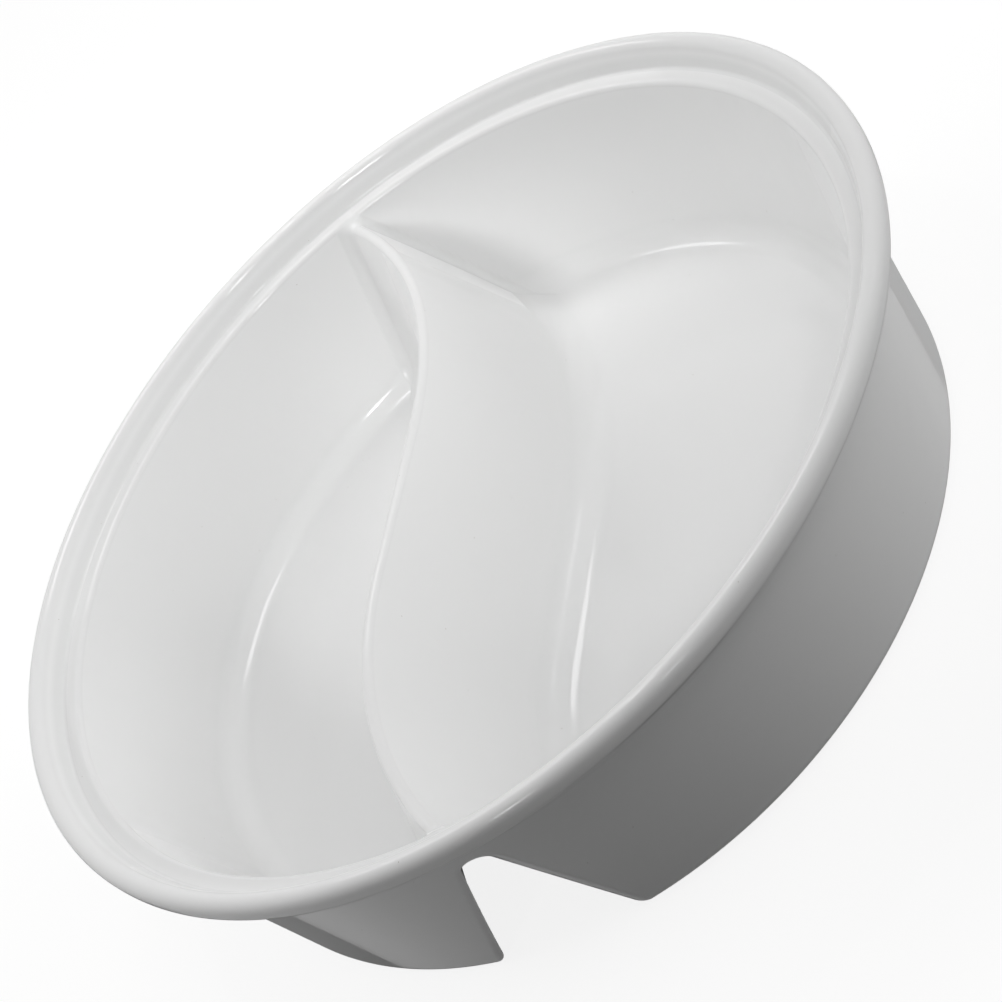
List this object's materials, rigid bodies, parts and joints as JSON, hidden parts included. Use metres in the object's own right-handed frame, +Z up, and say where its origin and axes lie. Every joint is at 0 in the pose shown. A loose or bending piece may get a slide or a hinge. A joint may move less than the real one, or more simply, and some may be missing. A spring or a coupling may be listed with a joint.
{
  "type": "divided serving bowl",
  "caption": "Round deep white porcelain serving bowl with a rolled rim, a lid seat and a curved hollow ridge that divides it into basins.",
  "frame": {"origin": "on the table, at the centre of the rim circle, level with the feet", "axes": "+Z up out of the bowl; +Y along the straight middle of the dividing ridge; the smaller basin is on the -X side"},
  "size_m": [0.3799, 0.38, 0.094],
  "materials": {
    "white_glaze": "gloss",
    "bare_clay": "matte"
  },
  "bodies": {
    "root": {"rim_lip": "white_glaze", "lid_seat": "white_glaze", "left_wall": "white_glaze", "right_wall": "white_glaze", "left_flank": "white_glaze", "right_flank": "white_glaze", "divider_crest": "white_glaze", "left_floor": "white_glaze", "right_floor": "white_glaze", "left_foot": "bare_clay", "right_foot": "bare_clay"}
  },
  "joints": []
}
